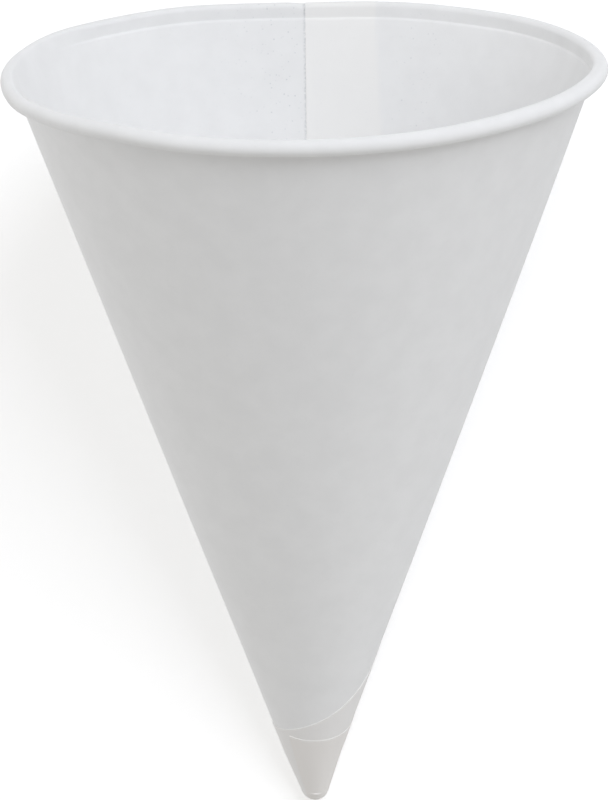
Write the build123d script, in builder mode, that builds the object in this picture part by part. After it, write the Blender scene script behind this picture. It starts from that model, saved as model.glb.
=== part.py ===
"""Cone paper cup: one sheet of paper wound about two and a half turns into a cone.

The sheet starts at a straight cut that runs down the inside of the cup. It goes once round,
laps over its own start and is glued there. Its outer cut then winds down to the tip, where a
short tail goes round again and closes the point. The rim is curled outwards over a shoulder.

The cup is drawn upright, with the apex of its inside at the origin and the mouth at +Z. The
sheet starts at +Y, the back, and winds clockwise, seen from the mouth. At the end the cup is
laid on its side, as it comes to rest: mouth at +Y, tip at -Y, lap underneath.
"""

import os
from math import acos, asin, asinh, atan, atan2, ceil, cos, cosh, degrees, radians, sin, sinh, tan

from build123d import *

# Sheet, in millimetres
paper = 0.15  # thickness
glue_bite = 0.02  # how far glued layers press into each other

# Cone
half_angle = 20.1  # between the axis and the inside of the wall
rim_diameter = 72.0  # over the curled rim
nose_radius = 2.1  # rounding of the pressed point
nose_press = 0.05  # room between the outermost layer and the forming die
nose_floor = 1.8  # solid paper between the point and the bottom of the inside

# Rim, curled outwards over a small shoulder
curl_radius = 0.95  # outside of the curl
curl_sweep = 304.0  # how far round the curl goes
curl_flats = 16  # short flats that the stiff paper is drawn with along the curl
neck_angle = 225.0  # where the shoulder meets the curl, about the curl's centre
shoulder_width = 0.5  # radially, from the wall's crease to the neck
shoulder_rise = 0.38

# Straight cuts of the flat sheet, as distance and direction from the point that becomes the
# apex. Directions are measured from the inner cut, which runs from that point to the rim.
outer_cut_distance = 13.5
outer_cut_direction = 211.1
tail_cut_distance = 12.4
tail_cut_direction = 306.2
tail_end_direction = 322.0  # the tail ends along a line through the apex

slope_sin = sin(radians(half_angle))
slope_cos = cos(radians(half_angle))
slope_tan = tan(radians(half_angle))
wall_width = paper / slope_cos  # thickness of the wall, measured radially
pitch = (paper - glue_bite) / slope_cos  # radial growth of the winding in a full turn

curl_center_x = rim_diameter / 2 - curl_radius
neck_x = curl_center_x + curl_radius * cos(radians(neck_angle))
crease_x = neck_x - shoulder_width
crease_z = crease_x / slope_tan
neck_z = crease_z + shoulder_rise
curl_center_z = neck_z - curl_radius * sin(radians(neck_angle))

wind_end = tail_end_direction / slope_sin  # angle of wind of the tail's end
layers_width = pitch * wind_end / 360 + wall_width
die_apex_z = -(layers_width + nose_press / slope_cos) / slope_tan
nose_center_z = die_apex_z + nose_radius / slope_sin
nose_bottom_z = nose_center_z - nose_radius
floor_z = nose_bottom_z + nose_floor
sheet_start_z = nose_bottom_z / 2  # below the point, where the die cuts it off

cut_reach = 3 * curl_radius  # how far a cut's surface stands out on both sides of the cone
cut_overrun = 1.5  # how far it runs on past the top of the layer that it cuts
turn_overrun = 5.0  # and past the ends of that layer, in degrees of wind
cut_step = 0.3  # spacing of its points


class StraightCut:
    """A straight cut of the flat sheet, and where it lies once the sheet is wound.

    At the flat angle a from its nearest point, the cut is distance / cos(a) from the apex. An
    angle of wind is the flat angle divided by the sine of the cone's half angle.
    """

    def __init__(self, distance: float, direction: float):
        self.distance = distance
        self.direction = direction

    def height(self, turn: float) -> float:
        """Height at which the cut crosses an angle of wind."""
        return self.distance / cos(radians(turn * slope_sin - self.direction)) * slope_cos

    def turns(self, height: float) -> tuple[float, float]:
        """The two angles of wind at which the cut crosses a height."""
        away = degrees(acos(self.distance * slope_cos / height))
        return (self.direction - away) / slope_sin, (self.direction + away) / slope_sin

    def corner(self, other: "StraightCut") -> float:
        """Angle of wind of the corner that the cut makes with a later one."""
        between = radians(other.direction - self.direction)
        away = degrees(atan2(other.distance / self.distance - cos(between), sin(between)))
        return (self.direction + away) / slope_sin

    def surface(self, first_turn: float, last_turn: float, top: float) -> Face:
        """Surface along the cut from one angle of wind to another, but no higher than top.

        With tan(a) = sinh(w), equal steps of w are short near the tip, where the cut turns
        fastest, and long towards the rim.
        """
        low_turn, high_turn = self.turns(top)
        spans = (max(first_turn, low_turn), min(last_turn, high_turn))
        first_w, last_w = (asinh(tan(radians(turn * slope_sin - self.direction))) for turn in spans)
        steps = ceil((last_w - first_w) / cut_step)
        sides = []
        for reach in (-cut_reach, cut_reach):
            points = []
            for step in range(steps + 1):
                w = first_w + (last_w - first_w) * step / steps
                turn = radians((self.direction + degrees(atan(sinh(w)))) / slope_sin)
                slant = self.distance * cosh(w)
                radius = slant * slope_sin + reach
                points.append(Vector(radius * sin(turn), radius * cos(turn), slant * slope_cos))
            sides.append(Edge.make_spline(points))
        return Face.make_surface_from_curves(*sides)


def layer(half_turn: int) -> Part:
    """Half a turn of the sheet, from the tip up to the rim or to the cuts that end it.

    The right halves turn about the cup's axis and the left halves about a line half a pitch
    behind it. Their radii grow by half a pitch each time, so that every half turn starts where
    the last one ended and the layers lie one on another.
    """
    side = 1 if half_turn % 2 == 0 else -1
    axis = Axis((0, 0 if side == 1 else pitch / 2, 0), (0, 0, -1))
    outwards = Vector(0, side, 0)
    section_origin = axis.position + outwards * (half_turn * pitch / 2)
    first_turn = half_turn * 180
    last_turn = min(first_turn + 180, wind_end)

    # Cuts that end this half turn, and the height that they leave it
    cuts = []
    top_z = curl_center_z + curl_radius
    if last_turn > 360:
        if first_turn < tail_corner:
            cuts.append(outer_cut)
        if last_turn > tail_corner:
            cuts.append(tail_cut)
    if first_turn > 360:
        bends = {first_turn, last_turn, min(max(first_turn, tail_corner), last_turn)}
        top_z = max(min(cut.height(turn) for cut in cuts) for turn in bends) + cut_overrun

    with BuildPart() as sheet:
        with BuildSketch(Plane(origin=section_origin, x_dir=outwards, z_dir=(side, 0, 0))):
            with BuildLine():
                bottom = (sheet_start_z * slope_tan, sheet_start_z)
                if first_turn > 360:
                    Line(bottom, (top_z * slope_tan, top_z))
                else:
                    curl = []
                    for flat in range(curl_flats + 1):
                        angle = radians(neck_angle - curl_sweep * flat / curl_flats)
                        x = curl_center_x + curl_radius * cos(angle)
                        curl.append((x, curl_center_z + curl_radius * sin(angle)))
                    Polyline(bottom, (crease_x, crease_z), *curl)
                offset(amount=paper, side=Side.RIGHT, kind=Kind.INTERSECTION)
            make_face()
        revolve(axis=axis, revolution_arc=last_turn - first_turn)
        for cut in cuts:
            tool = cut.surface(first_turn - turn_overrun, last_turn + turn_overrun, top_z + cut_overrun)
            split(bisect_by=tool, keep=Keep.BOTTOM)
    return sheet.part


outer_cut = StraightCut(outer_cut_distance, outer_cut_direction)
tail_cut = StraightCut(tail_cut_distance, tail_cut_direction)
tail_corner = outer_cut.corner(tail_cut)

# Room inside the forming die: a rounded nose and a cone, open above the tail
with BuildPart() as forming_die:
    with BuildSketch(Plane.XZ):
        with BuildLine():
            cone_top_z = outer_cut.height(tail_corner) + cut_overrun
            Line((0, rim_diameter * 2), (0, nose_bottom_z))
            CenterArc((0, nose_center_z), nose_radius, -90, 90 - half_angle)
            Polyline(
                (nose_radius * slope_cos, nose_center_z - nose_radius * slope_sin),
                ((cone_top_z - die_apex_z) * slope_tan, cone_top_z),
                (rim_diameter, cone_top_z),
                (rim_diameter, rim_diameter * 2),
                (0, rim_diameter * 2),
            )
        make_face()
    revolve(axis=Axis.Z)

# The sheet, wound and pressed
with BuildPart() as wound_cup:
    for half_turn in range(ceil(wind_end / 180)):
        add(layer(half_turn))
    with BuildSketch(Plane.XZ):
        with BuildLine():
            plug_shift = pitch + paper / 2
            Polyline(
                (0, sheet_start_z),
                (sheet_start_z * slope_tan + plug_shift, sheet_start_z),
                (floor_z * slope_tan + plug_shift, floor_z),
                (0, floor_z),
                close=True,
            )
        make_face()
    revolve(axis=Axis.Z)
    add(forming_die.part, mode=Mode.INTERSECT)

# Lie down. The heavier lap turns underneath, and the cup rests on three points: the curl where
# the lap ends, the single curl just beyond that step, and the nose.
lap_turn = outer_cut.turns(curl_center_z)[0] - 360
rest_turn = lap_turn + degrees(acos(rim_diameter / (rim_diameter + 2 * pitch)))
nose_to_curl = Vector(curl_center_x, curl_center_z - nose_center_z)
lean = degrees(atan2(nose_to_curl.X, nose_to_curl.Y))
lean += degrees(asin((curl_radius - nose_radius) / nose_to_curl.length))
turned = Rot(lean - 90, 0, 0) * Rot(0, 0, rest_turn) * wound_cup.part
box = turned.bounding_box()

with BuildPart() as cone_cup:
    add(Pos(-box.center().X, -box.center().Y, -box.min.Z) * turned)

cone_cup.part.label = "cone_cup"
os.makedirs("parts", exist_ok=True)
export_step(cone_cup.part, "parts/cone_cup.step")
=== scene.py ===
"""Looks for a cone paper cup: one sheet of white cup paper, wound, glued and curled at the rim.

The cup's own sizes are in millimetres, in its upright frame: the apex of the inside at the
origin, the mouth at +Z and the start of the sheet at +Y. RestingPose turns that frame into the
CAD frame, where the cup lies on its side with its lap underneath.
"""

import logging
import math
import random
from dataclasses import dataclass, field
from enum import Enum

import bmesh
import bpy
from mathutils import Matrix, Vector

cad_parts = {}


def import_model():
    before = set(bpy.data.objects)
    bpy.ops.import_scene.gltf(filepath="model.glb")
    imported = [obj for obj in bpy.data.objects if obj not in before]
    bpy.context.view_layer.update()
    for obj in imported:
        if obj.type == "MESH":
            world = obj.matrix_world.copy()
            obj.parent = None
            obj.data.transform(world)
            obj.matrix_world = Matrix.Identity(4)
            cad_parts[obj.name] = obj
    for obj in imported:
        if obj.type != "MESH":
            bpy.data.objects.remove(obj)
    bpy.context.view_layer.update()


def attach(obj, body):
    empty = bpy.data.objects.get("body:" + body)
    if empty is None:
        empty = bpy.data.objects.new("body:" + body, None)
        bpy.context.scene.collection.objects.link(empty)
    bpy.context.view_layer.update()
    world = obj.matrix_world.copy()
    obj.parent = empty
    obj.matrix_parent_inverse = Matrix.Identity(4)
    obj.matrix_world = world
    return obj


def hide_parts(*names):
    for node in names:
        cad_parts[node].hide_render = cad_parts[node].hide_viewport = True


log = logging.getLogger("cone_cup")

MM = 0.001
NODE = "cone_cup"
BODY = "root"

# How finely the mesh is drawn
SHARP_ANGLE = 38.0
MERGE_DISTANCE = 1e-5
CORNER_STEPS = 8
CORNER_CLEARANCE = 0.8
ROUNDING_SHARES = (0.0, 0.2, 0.4, 0.6, 0.8, 1.0)
NEAR_SEAM = (356, 356.8, 357.6, 358.2, 358.8, 359.3, 359.7, 360.05, 360.5, 361.1, 362.2, 364)
NOSE_ROWS_BELOW = (0, 0.04, 0.12, 0.25, 0.42, 0.60, 0.80)
FOLD_ROWS = (-0.24, -0.17, -0.11, -0.06, -0.02, 0.02, 0.06, 0.11, 0.17, 0.24)
NOSE_ROWS_ABOVE = (1.6, 1.8, 2.1, 2.6, 3.2, 4.0)
WALL_FOOT = 5.0  # the wall's rows start this far above the point
SEAM_SHARES = (0.0, 0.12, 0.4, 1.0)
FLOOR_RINGS = (0.0, 0.35, 0.7, 1.05)
FLOOR_SIDES = 48
LUMP_FADE = 6  # the power of the height by which the rim's lumps fade down the wall
SEED = 7
SEAM_JITTER = (0.4, 1.2)  # how uneven the serrations are

# Angles of wind from which the outside is painted darker and warmer, a painted shade for
# less light shining through the wound layers: past the outer cut, and past the tail's
PAINTED_TIP_SHADE_FROM = ((374, 377), (700, 746))


class Trait(Enum):
    """What the paper's finish depends on, as names of values kept in the mesh."""

    CUT_EDGE = "cut_edge"
    DOUBLE_LAYER = "double_layer"
    PAINTED_SEAM_SHADOW = "painted_seam_shadow"
    GLUED_PATCH = "glued_patch"
    PAINTED_TIP_SHADE = "painted_tip_shade"


class Face(Enum):
    """The two faces of the sheet, as how far out from its inner face each one lies."""

    INNER = 0.0
    OUTER = 1.0


def smooth(value: float, low: float, high: float) -> float:
    """Eases from 0 to 1 as value goes from low to high.

    Args:
        value: The number to ease.
        low: Where the result is 0.
        high: Where the result is 1.

    Returns:
        A number from 0 to 1.
    """
    share = min(max((value - low) / (high - low), 0.0), 1.0)
    return share * share * (3 - 2 * share)


def linear(hex_colour: str) -> tuple[float, float, float, float]:
    """Turns an sRGB hex colour to linear light.

    Args:
        hex_colour: Six hex digits.

    Returns:
        Red, green, blue and an alpha of 1.
    """
    channels = []
    for start in (0, 2, 4):
        value = int(hex_colour[start : start + 2], 16) / 255
        channels.append(value / 12.92 if value <= 0.04045 else ((value + 0.055) / 1.055) ** 2.4)
    return (*channels, 1.0)


@dataclass(frozen=True)
class FlatCut:
    """A straight cut of the flat sheet.

    distance is its least distance from the apex, and direction is where that lies, in degrees
    of the flat sheet from the inner cut.
    """

    distance: float
    direction: float

    def past(self, slant: float, flat_angle: float) -> float:
        """How far past the cut a point of the flat sheet lies, less than 0 on the sheet."""
        return slant * math.cos(math.radians(flat_angle - self.direction)) - self.distance

    def slant(self, flat_angle: float) -> float:
        """Distance from the apex at which the cut crosses a direction of the flat sheet."""
        away = math.radians(flat_angle - self.direction)
        return self.distance / max(math.cos(away), 1e-6)


def wrap(turn: float) -> float:
    """An angle in degrees brought to between -180 and 180."""
    return (turn + 180) % 360 - 180


@dataclass(frozen=True)
class RimLump:
    """A place where the rim stands higher or lower than a true circle, in millimetres."""

    azimuth: float
    width: float
    height: float

    def at(self, turn: float) -> float:
        """The lump's height at an angle of wind."""
        return self.height * math.exp(-((wrap(turn - self.azimuth) / self.width) ** 2))


RIM_LUMPS = (
    RimLump(0, 15, -0.40),  # the seam holds the rim down at the back
    RimLump(110, 50, 0.62),  # the mouth tilts up on the right
    RimLump(62, 16, 0.10),
    RimLump(107, 13, 0.24),
    RimLump(133, 18, 0.20),
    RimLump(50, 11, 0.10),
    RimLump(-14, 8, -0.10),
    RimLump(-59, 11, 0.19),
    RimLump(-108, 11, -0.32),
    RimLump(-141, 11, 0.20),
)


@dataclass(frozen=True)
class Band:
    """A stretch of the winding where something fades in and out again, in degrees of wind."""

    rise: tuple[float, float]
    fall: tuple[float, float]

    def at(self, turn: float) -> float:
        """The share that shows at an angle of wind, from 0 to 1."""
        return smooth(turn, *self.rise) * (1 - smooth(turn, *self.fall))


# Painted shadow: a dotted grey line just left of the sheet's starting cut edge, for the shade in
# the gap under it
PAINTED_SEAM_SHADOW_BAND = Band((359.7, 360.05), (360.5, 361.1))
SPECKS_LEFT = Band((-22, -5), (-0.5, 0.5))  # glue specks on the left of the seam
SPECKS_RIGHT = Band((20, 24), (26, 33))  # and past the lap's edge
SEAM_NOTCH = Band((357.2, 359.8), (360.3, 364))
PRESSED_SHOULDER = Band((44, 62), (115, 150))  # on the left, counted the other way round


@dataclass
class WoundSheet:
    """The sheet, wound clockwise seen from the mouth, and its curled rim."""

    paper: float = 0.15
    pitch: float = 0.1384
    half_angle: float = 20.1
    rim_radius: float = 36.0
    rim_top: float = 94.58
    crease_radius: float = 33.88
    shoulder_width: float = 0.22
    shoulder_rise: float = 0.22
    band_batter: float = 0.02  # how far the upright band leans outwards
    corner_radius: float = 0.6  # where the flat band inside the rim turns over its top
    curl_radius: float = 0.95
    curl_sweep: float = 231.0  # from the top, out and round underneath to the wall
    crease_rounding: float = 0.14
    shoulder_rounding: float = 0.10
    nose_radius: float = 1.706
    nose_zone: float = 4.0  # above this height over the point the wall is a plain cone
    nose_fold: float = 1.22  # height of the small fold on the front of the pressed nose
    fold_depth: float = 0.13
    fold_width: float = 0.07
    fold_azimuth: float = 174.0
    fold_spread: float = 18.0
    nose_bend: float = 0.22  # the pressed point leans a little to the right
    bend_top: float = 9.5
    tip_pitch: float = 0.085  # growth a turn where the tip's layers are pressed together
    tip_top: float = 22.0
    tip_blend: float = 36.0
    floor_height: float = 4.3  # where the inside closes
    floor_dish: float = 0.35
    outer_cut: FlatCut = field(default_factory=lambda: FlatCut(13.35, 211.1))
    tail_cut: FlatCut = field(default_factory=lambda: FlatCut(12.28, 306.2))
    tail_end: float = 322.0
    wall_rows: int = 30
    row_bunching: float = 1.5  # rows are closer together towards the tip
    rim_reach: float = 0.8  # the rim's section starts this far below the crease
    curl_step: float = 11.0
    turn_step: float = 2.0
    cut_turn_step: float = 0.6
    lap_turn_step: float = 0.7  # where the lap's edge shows through
    fine_wind: tuple[float, float] = (10.0, 26.0)
    cut_fine_end: float = 470.0
    seam_clearance: float = 4.2  # the columns next to the seam are listed within this
    serration_length: float = 0.62
    serration_depth: float = 0.085
    seam_start: float = 0.33
    seam_width: float = 2.5
    seam_rows: int = 560
    serrated_from: tuple[float, float] = (12.0, 22.0)
    lap_fade: float = 0.35  # the lap's edge shows through softly, this far on both sides
    # The cut edges are painted lighter: raw paper, and partly a painted highlight where they catch
    # light
    edge_width: float = 0.30  # how far the raw edge shows below a cut
    notch_depth: float = 0.16
    notch_push: float = 0.10

    def __post_init__(self) -> None:
        """Works out the heights and angles that the sizes give."""
        self.sin = math.sin(math.radians(self.half_angle))
        self.cos = math.cos(math.radians(self.half_angle))
        self.tan = math.tan(math.radians(self.half_angle))
        self.wall = self.paper / self.cos
        self.curl_x = self.rim_radius - self.curl_radius
        self.curl_z = self.rim_top - self.curl_radius
        self.crease_z = self.crease_radius / self.tan
        self.rim_start_z = self.crease_z - self.rim_reach * self.cos
        self.wind_end = self.tail_end / self.sin
        self.nose_z = -(self.pitch + self.wall) / self.tan + self.nose_radius / self.sin
        self.bottom_z = self.nose_z - self.nose_radius
        self.nose_tangent_z = self.nose_z - self.nose_radius * self.sin
        self.nose_tangent_x = self.nose_radius * self.cos
        away = math.degrees(math.acos(self.outer_cut.distance * self.cos / self.crease_z))
        self.lap_turn = (self.outer_cut.direction - away) / self.sin

    def top(self, turn: float) -> float:
        """Height at which the wall ends at an angle of wind, at its crease or at a cut."""
        if turn <= self.lap_turn:
            return self.crease_z
        flat = turn * self.sin
        slants = [self.outer_cut.slant(flat)]
        if flat > self.outer_cut.direction:
            slants.append(self.tail_cut.slant(flat))
        return min(min(slants) * self.cos, self.crease_z)

    def outer_radius(self, turn: float, height: float) -> float:
        """Radius of the sheet's outer face.

        The layers grow outwards by a pitch a turn. Towards the tip they are pressed together,
        so that the outside stays a straight cone, and the point is rounded.

        Args:
            turn: Angle of wind in degrees.
            height: Height above the apex.

        Returns:
            The radius in millimetres.
        """
        layer = turn / 360
        pressed = self.pitch + self.tip_pitch * (layer - 2)
        share = smooth(height, self.tip_top, self.tip_blend)
        grown = pressed + (self.pitch * layer - pressed) * share
        if height > self.bottom_z + self.nose_zone:
            return height * self.tan + self.wall + grown
        off = (height - self.bottom_z - self.nose_fold) / self.fold_width
        front = math.exp(-((wrap(turn - self.fold_azimuth) / self.fold_spread) ** 2))
        fold = self.fold_depth * front * math.exp(-(off**2))
        if height >= self.nose_tangent_z:
            return height * self.tan + self.wall + grown + fold
        drop = self.nose_z - height
        rounded = math.sqrt(max(self.nose_radius**2 - drop**2, 0.0))
        rounded *= 1 + (grown - self.pitch) / self.nose_tangent_x
        return rounded + fold * min(rounded, 1.0)

    def wall_radius(self, turn: float, height: float, face: Face) -> float:
        """Radius of a point of the wall on one face of the sheet."""
        radius = self.outer_radius(turn, height)
        return max(radius - self.wall, 0.0) if face is Face.INNER else radius

    def rim_path(self, pressed: float) -> list[tuple[float, float]]:
        """The rim's section: from just below the crease, round the curl, to its free end.

        It follows the face of the sheet that looks into the cup and then outwards on the curl.

        Args:
            pressed: From 0, where the shoulder is crisp, to 1, where it is pressed flat.

        Returns:
            Points as radius and height, as many whatever pressed is.
        """
        start = (self.crease_radius - self.rim_reach * self.sin, self.rim_start_z)
        crease = (self.crease_radius, self.crease_z)
        shoulder_z = self.crease_z + self.shoulder_rise
        band_x = self.crease_radius + self.shoulder_width
        shoulder = (band_x + (shoulder_z * self.tan - band_x) * pressed, shoulder_z)
        corner_z = self.rim_top - self.corner_radius
        lean = self.half_angle * pressed
        band_z = corner_z + self.corner_radius * math.sin(math.radians(lean))
        top_x = band_x + self.band_batter
        top_x += (band_z * self.tan - band_x - self.band_batter) * pressed
        corner_x = top_x + self.corner_radius * math.cos(math.radians(lean))
        path = [start]
        path += self.rounded(start, crease, shoulder, self.crease_rounding)
        path += self.rounded(crease, shoulder, (top_x, band_z), self.shoulder_rounding)
        path += self.arc(corner_x, corner_z, self.corner_radius, 180 - lean, 90)
        path += self.arc(self.curl_x, self.curl_z, self.curl_radius, 90, 90 - self.curl_sweep)
        return path

    def arc(
        self, center_x: float, center_z: float, radius: float, first: float, last: float
    ) -> list[tuple[float, float]]:
        """Points of an arc of the rim's section.

        Args:
            center_x: Radius of the arc's centre.
            center_z: Its height.
            radius: The arc's radius.
            first: Angle of the first point in degrees.
            last: Angle of the last point, less than the first.

        Returns:
            The points, clockwise.
        """
        is_corner = first - last < 91
        steps = CORNER_STEPS if is_corner else round((first - last) / self.curl_step)
        points = []
        for step in range(steps + 1):
            angle = math.radians(first + (last - first) * step / steps)
            across, up = radius * math.cos(angle), radius * math.sin(angle)
            points.append((center_x + across, center_z + up))
        return points

    def rim_face(self, face: Face, turn: float) -> list[Vector]:
        """The rim's section on one face of the sheet at an angle of wind.

        Args:
            face: Which face of the sheet.
            turn: Angle of wind in degrees.

        Returns:
            Points as radius and height.
        """
        path = [Vector(point) for point in self.rim_path(PRESSED_SHOULDER.at(-wrap(turn)))]
        section = []
        for k, point in enumerate(path):
            along = path[min(k + 1, len(path) - 1)] - path[max(k - 1, 0)]
            normal = Vector((along.y, -along.x)).normalized()
            section.append(point + normal * self.paper * face.value)
        return section

    @staticmethod
    def rounded(
        before: tuple[float, float],
        corner: tuple[float, float],
        after: tuple[float, float],
        reach: float,
    ) -> list[tuple[float, float]]:
        """Rounds a corner of a path.

        Args:
            before: The point before the corner.
            corner: The corner.
            after: The point after it.
            reach: How far from the corner the rounding starts and ends.

        Returns:
            Points of the rounding, in order.
        """
        point = Vector(corner)
        start = point + (Vector(before) - point).normalized() * reach
        end = point + (Vector(after) - point).normalized() * reach
        points = []
        for share in ROUNDING_SHARES:
            on_curve = start.lerp(point, share).lerp(point.lerp(end, share), share)
            points.append((on_curve.x, on_curve.y))
        return points

    def place(self, radius: float, height: float, turn: float) -> Vector:
        """A point of the cup, with the uneven rim that a rolled paper cup has.

        Args:
            radius: Its distance from the axis.
            height: Its height in the true cone.
            turn: Angle of wind in degrees.

        Returns:
            The point in the cup's upright frame.
        """
        azimuth = math.radians(turn)
        lift = sum(lump.at(turn) for lump in RIM_LUMPS)
        share = (height / self.crease_z) ** LUMP_FADE
        bend = self.nose_bend * (1 - smooth(height, self.bottom_z, self.bend_top))
        across = radius * math.sin(azimuth) + bend
        return Vector((across, radius * math.cos(azimuth), height + lift * share))

    def turns(self) -> list[float]:
        """Angles of wind of the mesh's columns, closer together where the lap's cut is steep."""
        turns = []
        turn = self.seam_width
        while turn < self.lap_turn - self.turn_step:
            turns.append(turn)
            is_fine = self.fine_wind[0] < turn < self.fine_wind[1]
            turn += self.lap_turn_step if is_fine else self.turn_step
        turns.append(self.lap_turn)
        turn = self.lap_turn + self.cut_turn_step
        while turn < self.cut_fine_end:
            turns.append(turn)
            turn += self.cut_turn_step
        while turn < self.wind_end - 1:
            turns.append(turn)
            turn += self.turn_step
        corner = self.corner_turn()
        clear = [turn for turn in turns if abs(turn - 360) > self.seam_clearance]
        clear = [turn for turn in clear if abs(turn - corner) > CORNER_CLEARANCE]
        return sorted([*clear, *NEAR_SEAM, corner, self.wind_end])

    def corner_turn(self) -> float:
        """Angle of wind of the corner between the outer cut and the tail's cut."""
        between = math.radians(self.tail_cut.direction - self.outer_cut.direction)
        ratio = self.tail_cut.distance / self.outer_cut.distance
        away = math.degrees(math.atan2(ratio - math.cos(between), math.sin(between)))
        return (self.outer_cut.direction + away) / self.sin


class Skin:
    """A mesh of quads, built from rows of points."""

    def __init__(self) -> None:
        """Starts an empty mesh with a layer for each of the sheet's traits."""
        self.mesh = bmesh.new()
        self.layers = {trait: self.mesh.verts.layers.float.new(trait.value) for trait in Trait}

    def vertex(self, point: Vector, traits: dict[Trait, float]) -> bmesh.types.BMVert:
        """Adds a vertex with its traits, each 0 where none is given."""
        vertex = self.mesh.verts.new(point)
        for trait, value in traits.items():
            vertex[self.layers[trait]] = value
        return vertex

    def grid(self, columns: list[list[bmesh.types.BMVert]], flip: bool = False) -> None:
        """Joins columns of vertices with quads.

        Args:
            columns: Lists of vertices. Two neighbours join as far as the shorter goes.
            flip: Whether to turn the faces over.
        """
        for left, right in zip(columns, columns[1:]):
            for row in range(min(len(left), len(right)) - 1):
                corners = [left[row], right[row], right[row + 1], left[row + 1]]
                unique = list(dict.fromkeys(corners))
                if len(unique) > 2:
                    self.mesh.faces.new(unique[::-1] if flip else unique)

    def to_object(self, name: str, matrix: Matrix) -> bpy.types.Object:
        """Finishes the mesh as a smooth-shaded object with sharp cut edges.

        Args:
            name: The object's name.
            matrix: From the mesh's frame to the CAD frame.

        Returns:
            The new object.
        """
        bmesh.ops.remove_doubles(self.mesh, verts=self.mesh.verts, dist=MERGE_DISTANCE)
        bmesh.ops.transform(self.mesh, matrix=matrix, verts=self.mesh.verts)
        data = bpy.data.meshes.new(name)
        self.mesh.to_mesh(data)
        self.mesh.free()
        data.shade_smooth()
        data.set_sharp_from_angle(angle=math.radians(SHARP_ANGLE))
        piece = bpy.data.objects.new(name, data)
        bpy.context.scene.collection.objects.link(piece)
        return piece


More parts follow.
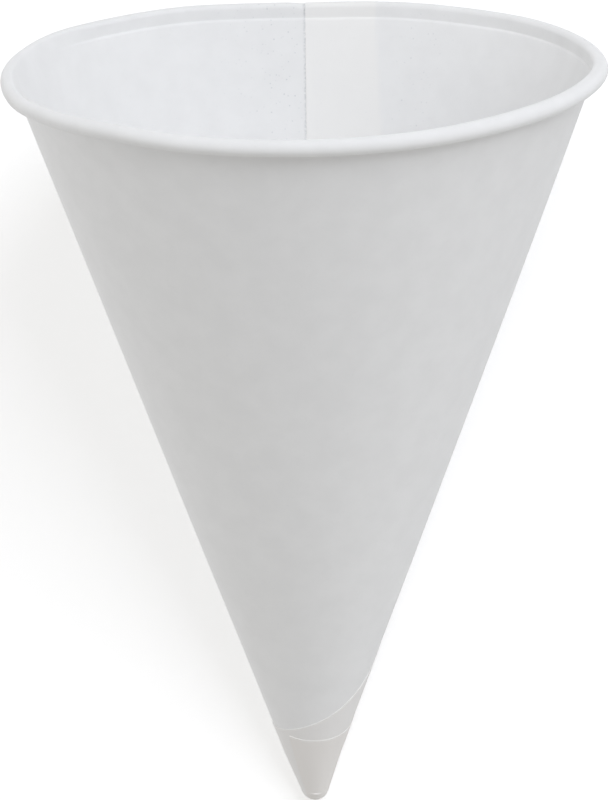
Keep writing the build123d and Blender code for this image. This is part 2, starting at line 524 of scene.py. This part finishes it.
class PaperCup:
    """Builds the wound sheet as one mesh."""

    def __init__(self, sheet: WoundSheet) -> None:
        """Keeps the sheet's sizes."""
        self.sheet = sheet
        self.skin = Skin()
        self.random = random.Random(SEED)

    def traits(
        self, turn: float, height: float, face: Face, edge: float = 0.0
    ) -> dict[Trait, float]:
        """Traits of the sheet at a point.

        Args:
            turn: Angle of wind in degrees.
            height: Height above the apex.
            face: Which face of the sheet.
            edge: 1 at a cut edge.

        Returns:
            Each trait's value, from 0 to 1.
        """
        traits = {Trait.CUT_EDGE: edge}
        if face is Face.INNER:
            ahead = wrap(turn)
            flat = (turn + 360) * self.sheet.sin
            past = self.sheet.outer_cut.past(height / self.sheet.cos, flat)
            fade = self.sheet.lap_fade
            traits[Trait.DOUBLE_LAYER] = 1 - smooth(past, -fade, fade)
            # Painted shadow along the seam
            traits[Trait.PAINTED_SEAM_SHADOW] = PAINTED_SEAM_SHADOW_BAND.at(turn)
            traits[Trait.GLUED_PATCH] = max(SPECKS_LEFT.at(ahead), 0.8 * SPECKS_RIGHT.at(ahead))
        else:
            # Painted shade: the outside of the layered tip is painted darker and warmer
            traits[Trait.PAINTED_TIP_SHADE] = sum(0.5 * smooth(turn, *start) for start in PAINTED_TIP_SHADE_FROM)
        return traits

    def column(self, turn: float, face: Face) -> list[bmesh.types.BMVert]:
        """Vertices of one face of the sheet at one angle of wind, from the tip up.

        Args:
            turn: Angle of wind in degrees.
            face: Which face of the sheet.

        Returns:
            The vertices in order.
        """
        sheet = self.sheet
        is_cut = turn > sheet.lap_turn
        top = sheet.top(turn) if is_cut else sheet.rim_start_z
        column = []
        for height in self.row_heights(top, is_cut):
            radius = sheet.wall_radius(turn, height, face)
            # Lighter towards a cut: raw paper, and partly a painted highlight
            edge = smooth(height, top - sheet.edge_width, top) if is_cut else 0.0
            point = sheet.place(radius, height, turn)
            column.append(self.skin.vertex(point, self.traits(turn, height, face, edge)))
        if not is_cut:
            column += self.rim_column(turn, face)
        return column

    def row_heights(self, top: float, with_top: bool) -> list[float]:
        """Heights of a column's rows: finely over the nose and its fold, then up the wall.

        Args:
            top: Height at which the wall ends.
            with_top: Whether there is a row at the top itself.

        Returns:
            The heights, from the point up.
        """
        sheet = self.sheet
        fold_rows = [sheet.nose_fold + off for off in FOLD_ROWS]
        nose = [*NOSE_ROWS_BELOW, *fold_rows, *NOSE_ROWS_ABOVE]
        foot = sheet.bottom_z + WALL_FOOT
        rows = range(sheet.wall_rows + (1 if with_top else 0))
        shares = [(row / sheet.wall_rows) ** sheet.row_bunching for row in rows]
        wall = [foot + (top - foot) * share for share in shares]
        return [sheet.bottom_z + up for up in nose] + wall

    def rim_column(self, turn: float, face: Face) -> list[bmesh.types.BMVert]:
        """Vertices of one face of the rim at one angle of wind.

        Args:
            turn: Angle of wind in degrees.
            face: Which face of the sheet.

        Returns:
            The vertices, from below the crease to the free end of the curl.
        """
        sheet = self.sheet
        grown = sheet.pitch * turn / 360
        notch = SEAM_NOTCH.at(turn)
        column = []
        for point in sheet.rim_face(face, turn):
            upper = smooth(point.y, sheet.crease_z + 0.3, sheet.rim_top)
            radius = point.x + grown + sheet.notch_push * notch * upper
            place = sheet.place(radius, point.y - sheet.notch_depth * notch * upper, turn)
            traits = self.traits(turn, min(point.y, sheet.crease_z), face)
            column.append(self.skin.vertex(place, traits))
        return column

    def wall_and_rim(self) -> None:
        """The wall and rim of the sheet, from the seam's strip round to the end of the tail."""
        sheet = self.sheet
        turns = sheet.turns()
        inner = [self.column(turn, Face.INNER) for turn in turns]
        outer = [self.column(turn, Face.OUTER) for turn in turns]
        self.skin.grid(inner, flip=True)
        self.skin.grid(outer)

        # The curl's free end, then the cuts' edges and the end of the tail
        curled = sum(turn <= sheet.lap_turn for turn in turns)
        edges = [[outside[-1], inside[-1]] for outside, inside in zip(outer, inner)]
        self.skin.grid(edges[:curled])
        self.skin.grid(edges[curled:])
        self.skin.grid([outer[-1], inner[-1]])

        # The two ends of the rim, where the lap's corner and the seam are
        start_inner = self.rim_column(sheet.seam_start, Face.INNER)
        start_outer = self.rim_column(sheet.seam_start, Face.OUTER)
        rim = len(inner[0]) - len(start_inner)
        self.skin.grid([outer[curled - 1][rim - 1 :], inner[curled - 1][rim - 1 :]])
        self.skin.grid([start_inner, inner[0][rim:]], flip=True)
        self.skin.grid([start_outer, outer[0][rim:]])
        self.skin.grid([start_inner, start_outer])
        self.skin.grid([[start_outer[-1], start_inner[-1]], edges[0]])

    def seam(self) -> None:
        """The narrow strip along the start of the sheet, with its serrated cut."""
        sheet = self.sheet
        count = sheet.seam_rows
        low = sheet.floor_height
        top = sheet.rim_start_z
        columns = {face: [[] for _ in SEAM_SHARES] for face in Face}
        depth = 0.0
        for row in range(count + 1):
            height = low + (top - low) * row / count
            phase = (height / sheet.cos / sheet.serration_length) % 1.0
            target = (abs(phase - 0.5) * 2 - 0.5) * 2 * sheet.serration_depth
            target *= self.random.uniform(*SEAM_JITTER)
            depth = 0.5 * depth + 0.5 * target
            fade = smooth(height, *sheet.serrated_from) * (1 - smooth(height, top - 1, top))
            for face in Face:
                radius = sheet.wall_radius(0.0, height, face)
                start = sheet.seam_start + math.degrees(depth * fade / max(radius, 1.0))
                for share, column in zip(SEAM_SHARES, columns[face]):
                    turn = start + (sheet.seam_width - start) * share
                    # The serrated cut is painted lighter: raw paper, and partly a painted
                    # highlight
                    traits = self.traits(turn, height, face, 1.0 - smooth(share, 0.0, 0.2))
                    place = sheet.place(sheet.wall_radius(turn, height, face), height, turn)
                    column.append(self.skin.vertex(place, traits))
        self.skin.grid(columns[Face.INNER], flip=True)
        self.skin.grid(columns[Face.OUTER])
        self.skin.grid([columns[Face.OUTER][0], columns[Face.INNER][0]], flip=True)

    def inside_floor(self) -> None:
        """The closed bottom of the inside, where the wound layers meet."""
        sheet = self.sheet
        rings = []
        for share in FLOOR_RINGS:
            ring = []
            for step in range(FLOOR_SIDES + 1):
                turn = step * 360 / FLOOR_SIDES
                radius = sheet.wall_radius(turn % 360, sheet.floor_height, Face.INNER)
                height = sheet.floor_height + sheet.floor_dish * share**2
                ring.append(self.skin.vertex(sheet.place(radius * share, height, turn), {}))
            rings.append(ring)
        self.skin.grid(rings)

    def build(self, matrix: Matrix) -> bpy.types.Object:
        """Builds every part of the sheet.

        Args:
            matrix: From the cup's upright frame to the CAD frame.

        Returns:
            The cup as one object.
        """
        self.wall_and_rim()
        self.seam()
        self.inside_floor()
        piece = self.skin.to_object("wound_paper_cup", matrix)
        log.info("cup: %d faces", len(piece.data.polygons))
        return piece


@dataclass
class RestingPose:
    """How the upright cup is turned and laid down in the CAD frame."""

    rest_turn: float = 20.045
    lean: float = 20.789
    shift: tuple[float, float, float] = (0.0465, -51.5356, 0.4913)

    def turn(self) -> Matrix:
        """The turn alone, from the cup's upright frame to the CAD frame."""
        lay = Matrix.Rotation(math.radians(self.lean - 90), 4, "X")
        return lay @ Matrix.Rotation(math.radians(self.rest_turn), 4, "Z")

    def matrix(self) -> Matrix:
        """From millimetres in the cup's upright frame to metres in the CAD frame."""
        return Matrix.Scale(MM, 4) @ Matrix.Translation(self.shift) @ self.turn()


class NodeTools:
    """Adds nodes to one node tree."""

    def __init__(self, tree: bpy.types.NodeTree) -> None:
        """Empties the tree."""
        self.tree = tree
        tree.nodes.clear()

    def add(
        self, kind: str, settings: dict | None = None, links: dict | None = None
    ) -> bpy.types.Node:
        """Adds a node.

        Args:
            kind: The node's type.
            settings: Attributes of the node, or numbers and colours of its inputs.
            links: Sockets to link to its inputs, by the input's name or number.

        Returns:
            The new node.
        """
        node = self.tree.nodes.new(kind)
        for name, value in (settings or {}).items():
            if isinstance(name, str) and hasattr(node, name):
                setattr(node, name, value)
            else:
                node.inputs[name].default_value = value
        for name, socket in (links or {}).items():
            self.tree.links.new(socket, node.inputs[name])
        return node


@dataclass(frozen=True)
class Grain:
    """A noise in the paper: its grains in millimetres, and the levels spread from 0 to 1."""

    size: float
    detail: float
    low: float
    high: float


@dataclass(frozen=True)
class Coat:
    """A colour that shows over the paper where a trait of the sheet or a pattern calls for it."""

    colour: str
    amount: float
    trait: Trait | None = None
    pattern: str | None = None


@dataclass(frozen=True)
class CupPaper:
    """Uncoated white cup paper: bleached pulp, calendered to an even matt face.

    It scatters light evenly, with a faint sheen at grazing angles. Held close, its fibres cloud
    it by a percent or so. Glue shows through as small specks, and two layers look whiter than
    one. A dotted grey line along the seam is a painted shadow of the gap under the sheet's cut
    edge. The cut edges are painted lighter, as raw paper and partly as a painted highlight. The
    tightly wound tip is painted a little darker and warmer, a painted shade for less light
    shining through its layers. The fibres are drawn about three times as coarse as they are, so
    that they show.
    """

    white: str = "EFEFEF"
    shade: str = "ECECEC"
    painted_tip_shade_tone: str = "ECE9E6"
    doubled: str = "F4F3F1"
    raw_edge_and_highlight: str = "F5F4F2"
    painted_seam_shadow_grey: str = "B4B8BC"
    speck_grey: str = "CDD0D3"
    roughness: float = 0.72
    ior: float = 1.45
    sheen: float = 0.05
    relief: float = 0.02  # depth of the fibres' relief
    relief_strength: float = 0.25
    speck_spacing: float = 0.60
    speck_reach: tuple[float, float] = (0.22, 0.08)  # a dot's rim and core, in spacings
    speck_choice: tuple[float, float] = (0.25, 0.80)  # the cells' levels whose dots fade in
    grain_roughness: float = 0.55
    clouds: Grain = Grain(3.4, 4.0, 0.35, 0.65)
    torn: Grain = Grain(0.9, 2.0, 0.25, 0.60)
    dotted: Grain = Grain(0.35, 1.0, 0.35, 0.60)
    fibres: Grain = Grain(0.32, 3.0, 0.0, 1.0)

    def coats(self) -> tuple[Coat, ...]:
        """What shows over the plain paper, from the lowest up."""
        return (
            # Painted shade on the wound tip
            Coat(self.painted_tip_shade_tone, 1.0, Trait.PAINTED_TIP_SHADE),
            Coat(self.doubled, 0.7, Trait.DOUBLE_LAYER),
            Coat(self.speck_grey, 0.10, None, "specks"),
            Coat(self.speck_grey, 0.65, Trait.GLUED_PATCH, "specks"),
            # Raw paper, and partly a painted highlight, along the cut edges
            Coat(self.raw_edge_and_highlight, 1.0, Trait.CUT_EDGE, "torn"),
            # Painted shadow along the seam's cut edge
            Coat(self.painted_seam_shadow_grey, 0.32, Trait.PAINTED_SEAM_SHADOW, "dotted"),
        )

    def patterns(self, tools: NodeTools) -> dict[str, bpy.types.NodeSocket]:
        """Builds the noises and the specks.

        Args:
            tools: The node tree's tools.

        Returns:
            Each pattern's value, from 0 to 1, by name.
        """
        at = tools.add("ShaderNodeTexCoord").outputs["Object"]
        patterns = {}
        for name in ("clouds", "torn", "dotted", "fibres"):
            grain = getattr(self, name)
            settings = {
                "Scale": 1 / (grain.size * MM),
                "Detail": grain.detail,
                "Roughness": self.grain_roughness,
            }
            noise = tools.add("ShaderNodeTexNoise", settings, {"Vector": at})
            spread = tools.add(
                "ShaderNodeMapRange",
                {"From Min": grain.low, "From Max": grain.high},
                {"Value": noise.outputs["Fac"]},
            )
            patterns[name] = spread.outputs["Result"]
        cells = tools.add(
            "ShaderNodeTexVoronoi",
            {"Scale": 1 / (self.speck_spacing * MM), "Randomness": 1.0},
            {"Vector": at},
        )
        # A dot in each cell, but only some of the cells show theirs
        dot = tools.add(
            "ShaderNodeMapRange",
            {"From Min": self.speck_reach[0], "From Max": self.speck_reach[1]},
            {"Value": cells.outputs["Distance"]},
        )
        some = tools.add(
            "ShaderNodeMapRange",
            {"From Min": self.speck_choice[0], "From Max": self.speck_choice[1]},
            {"Value": cells.outputs["Color"]},
        )
        specks = tools.add(
            "ShaderNodeMath",
            {"operation": "MULTIPLY"},
            {0: dot.outputs["Result"], 1: some.outputs["Result"]},
        )
        patterns["specks"] = specks.outputs["Value"]
        return patterns

    def build(self) -> bpy.types.Material:
        """Builds the material.

        Returns:
            The material.
        """
        material = bpy.data.materials.new("uncoated_white_cup_paper")
        material.use_nodes = True
        tools = NodeTools(material.node_tree)
        patterns = self.patterns(tools)
        plain = tools.add(
            "ShaderNodeMix",
            {"data_type": "RGBA", 6: linear(self.shade), 7: linear(self.white)},
            {0: patterns["clouds"]},
        )
        colour = plain.outputs[2]
        for coat in self.coats():
            shows = []
            if coat.trait:
                trait = tools.add("ShaderNodeAttribute", {"attribute_name": coat.trait.value})
                shows.append(trait.outputs["Fac"])
            if coat.pattern:
                shows.append(patterns[coat.pattern])
            where = tools.add(
                "ShaderNodeMath", {"operation": "MULTIPLY", 1: 1.0}, dict(enumerate(shows))
            )
            share = tools.add(
                "ShaderNodeMath",
                {"operation": "MULTIPLY", 1: coat.amount},
                {0: where.outputs["Value"]},
            )
            covered = tools.add(
                "ShaderNodeMix",
                {"data_type": "RGBA", 7: linear(coat.colour)},
                {0: share.outputs["Value"], 6: colour},
            )
            colour = covered.outputs[2]
        bump = tools.add(
            "ShaderNodeBump",
            {"Strength": self.relief_strength, "Distance": self.relief * MM},
            {"Height": patterns["fibres"]},
        )
        surface = tools.add(
            "ShaderNodeBsdfPrincipled",
            {"Roughness": self.roughness, "IOR": self.ior, "Sheen Weight": self.sheen},
            {"Base Color": colour, "Normal": bump.outputs["Normal"]},
        )
        tools.add("ShaderNodeOutputMaterial", None, {"Surface": surface.outputs["BSDF"]})
        return material


def background_rays(tools: NodeTools) -> bpy.types.NodeSocket:
    """Tells the rays that see the background from the rays that carry its light.

    Args:
        tools: The node tree's tools.

    Returns:
        1 for camera, glossy and transmission rays, and 0 for the others.
    """
    rays = tools.add("ShaderNodeLightPath").outputs
    seen = rays["Is Camera Ray"]
    for name in ("Is Glossy Ray", "Is Transmission Ray"):
        either = tools.add("ShaderNodeMath", {"operation": "MAXIMUM"}, {0: seen, 1: rays[name]})
        seen = either.outputs["Value"]
    return seen


@dataclass
class StudioFloor:
    """A plain white sweep under the cup, white to the camera wherever no shadow falls."""

    half_size: float = 3.0
    colour: str = "F4F4F4"
    lift: float = 0.35

    def build(self) -> bpy.types.Object:
        """Builds the floor.

        Returns:
            The floor as a stage object.
        """
        mesh = bmesh.new()
        bmesh.ops.create_grid(mesh, x_segments=1, y_segments=1, size=self.half_size)
        data = bpy.data.meshes.new("studio_floor")
        mesh.to_mesh(data)
        mesh.free()
        floor = bpy.data.objects.new("studio_floor", data)
        bpy.context.scene.collection.objects.link(floor)
        material = bpy.data.materials.new("white_backdrop_paper")
        material.use_nodes = True
        tools = NodeTools(material.node_tree)
        lift = tools.add(
            "ShaderNodeMath", {"operation": "MULTIPLY", 1: self.lift}, {0: background_rays(tools)}
        )
        matt = tools.add("ShaderNodeBsdfDiffuse", {"Color": linear(self.colour)})
        glow = tools.add("ShaderNodeEmission", None, {"Strength": lift.outputs["Value"]})
        both = tools.add(
            "ShaderNodeAddShader", None, {0: matt.outputs["BSDF"], 1: glow.outputs["Emission"]}
        )
        tools.add("ShaderNodeOutputMaterial", None, {"Surface": both.outputs["Shader"]})
        data.materials.append(material)
        return floor


@dataclass
class Softbox:
    """A square soft lamp. Its direction is in the cup's upright frame, seen from the cup."""

    name: str
    direction: tuple[float, float, float]
    distance: float  # in metres, as is the size
    size: float
    watts: float
    colour: str = "FFFFFF"

    def build(self, pose: RestingPose, aim: Vector) -> bpy.types.Object:
        """Builds the lamp.

        Args:
            pose: How the cup lies.
            aim: The point that the lamp faces, in the CAD frame.

        Returns:
            The lamp.
        """
        lamp = bpy.data.lights.new(self.name, "AREA")
        lamp.shape = "SQUARE"
        lamp.size = self.size
        lamp.energy = self.watts
        lamp.color = linear(self.colour)[:3]
        towards = (pose.turn().to_3x3() @ Vector(self.direction)).normalized()
        box = bpy.data.objects.new(self.name, lamp)
        box.location = aim + towards * self.distance
        box.rotation_euler = towards.to_track_quat("Z", "Y").to_euler()
        bpy.context.scene.collection.objects.link(box)
        return box


@dataclass
class PhotoCamera:
    """The photograph's camera, in the cup's upright frame."""

    distance: float = 850.0
    elevation: float = 16.588
    roll: float = -0.700
    aim: tuple[float, float, float] = (-0.475, 0.0, 53.383)
    focal_pixels: float = 7066.0
    image_width: int = 609
    sensor: float = 36.0

    def build(self, pose: RestingPose) -> bpy.types.Object:
        """Builds the camera and makes it the scene's.

        Args:
            pose: How the cup lies.

        Returns:
            The camera.
        """
        rise = math.radians(self.elevation)
        back = Vector((0, -math.cos(rise), math.sin(rise)))
        up = Vector((0, math.sin(rise), math.cos(rise)))
        right = Vector((1, 0, 0))
        roll = math.radians(self.roll)
        rolled_right = right * math.cos(roll) + up * math.sin(roll)
        rolled_up = up * math.cos(roll) - right * math.sin(roll)
        turn = pose.turn().to_3x3()
        axes = Matrix([turn @ rolled_right, turn @ rolled_up, turn @ back]).transposed()
        lens = bpy.data.cameras.new("photo_camera")
        lens.sensor_fit = "HORIZONTAL"
        lens.sensor_width = self.sensor
        lens.lens = self.focal_pixels / self.image_width * self.sensor
        camera = bpy.data.objects.new("photo_camera", lens)
        camera.matrix_world = axes.to_4x4()
        camera.location = pose.matrix() @ (Vector(self.aim) + back * self.distance)
        bpy.context.scene.collection.objects.link(camera)
        bpy.context.scene.camera = camera
        return camera


def light_world(strength: float, colour: str) -> None:
    """Lights the room evenly, and shows it white to the camera and in reflections.

    Args:
        strength: The even light's strength.
        colour: Its colour.
    """
    world = bpy.data.worlds.new("even_light")
    bpy.context.scene.world = world
    world.use_nodes = True
    tools = NodeTools(world.node_tree)
    even = tools.add("ShaderNodeBackground", {"Color": linear(colour), "Strength": strength})
    white = tools.add("ShaderNodeBackground", {"Color": linear("FFFFFF"), "Strength": 1.0})
    mixed = tools.add(
        "ShaderNodeMixShader",
        None,
        {0: background_rays(tools), 1: even.outputs["Background"], 2: white.outputs["Background"]},
    )
    tools.add("ShaderNodeOutputWorld", None, {"Surface": mixed.outputs["Shader"]})


def main() -> None:
    """Builds the cup, its paper, the floor, the lamps and the camera."""
    logging.basicConfig(level=logging.INFO, format="%(name)s: %(message)s")
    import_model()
    pose = RestingPose()
    cup = PaperCup(WoundSheet()).build(pose.matrix())
    cup.data.materials.append(CupPaper().build())
    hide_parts(NODE)
    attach(cup, BODY)
    StudioFloor().build()
    aim = pose.matrix() @ Vector((0.0, 0.0, 60.0))
    for box in (
        Softbox("mouth_softbox", (0.28, -0.63, 0.70), 0.9, 0.6, 4.78, "F6F9FF"),
        Softbox("left_softbox", (-1.0, -0.05, 0.20), 0.9, 0.6, 2.18, "FFFFFF"),
        Softbox("tip_softbox", (0.15, -0.75, -0.60), 0.35, 0.2, 0.075, "FFFCF3"),
    ):
        box.build(pose, aim)
        log.info("lamp: %s", box.name)
    light_world(0.39, "FFFEFC")
    PhotoCamera().build(pose)
    bpy.context.scene.view_settings.view_transform = "Standard"


if __name__ == "__main__":
    main()
